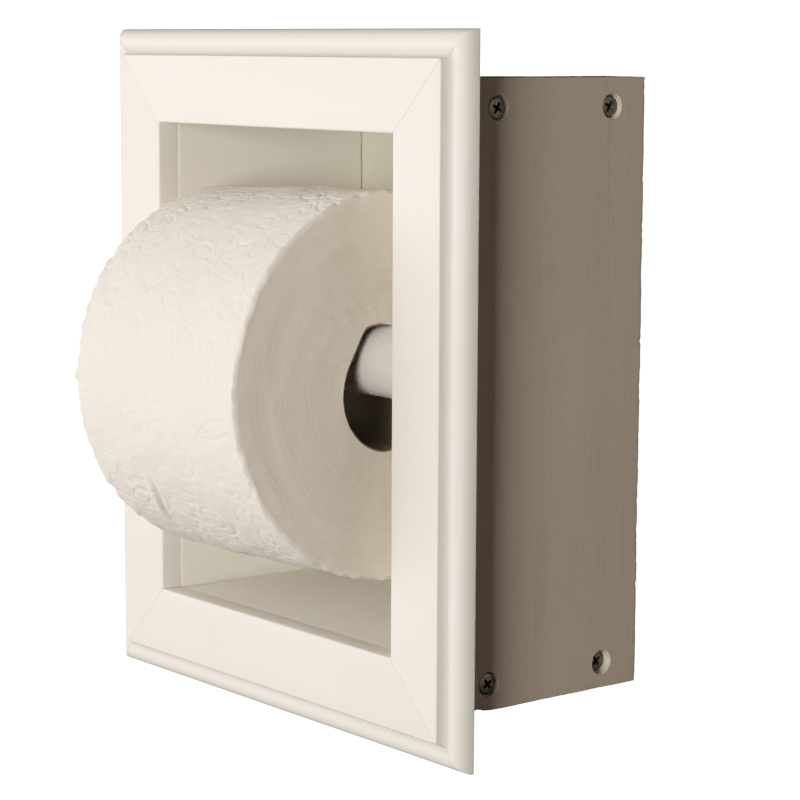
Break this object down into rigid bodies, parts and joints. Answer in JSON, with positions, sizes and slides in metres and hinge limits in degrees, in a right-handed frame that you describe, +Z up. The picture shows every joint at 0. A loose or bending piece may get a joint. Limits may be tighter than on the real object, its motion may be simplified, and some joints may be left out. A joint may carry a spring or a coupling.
{
  "type": "recessed toilet paper holder",
  "caption": "Recessed wall box with a mitred moulding frame, a sprung two-tube roller and a hanging paper roll.",
  "frame": {"origin": "centre of the opening, in the plane of the wall, which is the back face of the moulding frame", "axes": "+X to the right as a person faces the holder, +Y into the wall, +Z up"},
  "size_m": [0.188, 0.1353, 0.2222],
  "materials": {
    "frame_paint": "satin",
    "box_wood": "satin",
    "panel_board": "matte",
    "screw_steel": "satin",
    "nail_steel": "satin",
    "spring_steel": "satin",
    "roller_plastic": "gloss",
    "core_cardboard": "matte",
    "tissue": "matte"
  },
  "bodies": {
    "box": {"frame_rail_top": "frame_paint", "frame_rail_bottom": "frame_paint", "frame_stile_left": "frame_paint", "frame_stile_right": "frame_paint", "side_board_left": "box_wood", "side_board_right": "box_wood", "top_board": "box_wood", "bottom_board": "box_wood", "back_panel": "panel_board", "box_screw_left_bottom_front": "screw_steel", "box_screw_left_bottom_rear": "screw_steel", "box_screw_left_top_front": "screw_steel", "box_screw_left_top_rear": "screw_steel", "box_screw_right_bottom_front": "screw_steel", "box_screw_right_bottom_rear": "screw_steel", "box_screw_right_top_front": "screw_steel", "box_screw_right_top_rear": "screw_steel", "frame_nail_right_lower": "nail_steel", "frame_nail_right_upper": "nail_steel", "frame_nail_left_upper": "nail_steel", "frame_nail_left_lower": "nail_steel", "frame_nail_top_right": "nail_steel", "frame_nail_top_left": "nail_steel", "frame_nail_bottom_left": "nail_steel", "frame_nail_bottom_right": "nail_steel", "back_nail_left_lower": "nail_steel", "back_nail_left_upper": "nail_steel", "back_nail_right_lower": "nail_steel", "back_nail_right_upper": "nail_steel", "back_nail_top_left": "nail_steel", "back_nail_top_right": "nail_steel", "back_nail_bottom_left": "nail_steel", "back_nail_bottom_right": "nail_steel"},
    "roller_outer": {"roller_outer_tube": "roller_plastic", "roller_spring": "spring_steel"},
    "roller_inner": {"roller_inner_tube": "roller_plastic"},
    "roll": {"core_tube": "core_cardboard", "paper_roll": "tissue"}
  },
  "joints": [
    {"name": "roller_spin", "type": "hinge", "parent": "box", "child": "roller_outer", "pos_m": [0, 0.009, 0.0083], "axis": [1, 0, 0], "continuous": true},
    {"name": "roller_compress", "type": "slide", "parent": "roller_outer", "child": "roller_inner", "axis": [1, 0, 0], "range_m": [0, 0.009], "stiffness_N_per_m": 300, "springref_m": -0.02, "deforming": ["roller_spring"]},
    {"name": "roll_spin", "type": "hinge", "parent": "box", "child": "roll", "pos_m": [-0.001, 0.009, -0.00048], "axis": [0.9997, 0, 0.0244], "continuous": true}
  ]
}
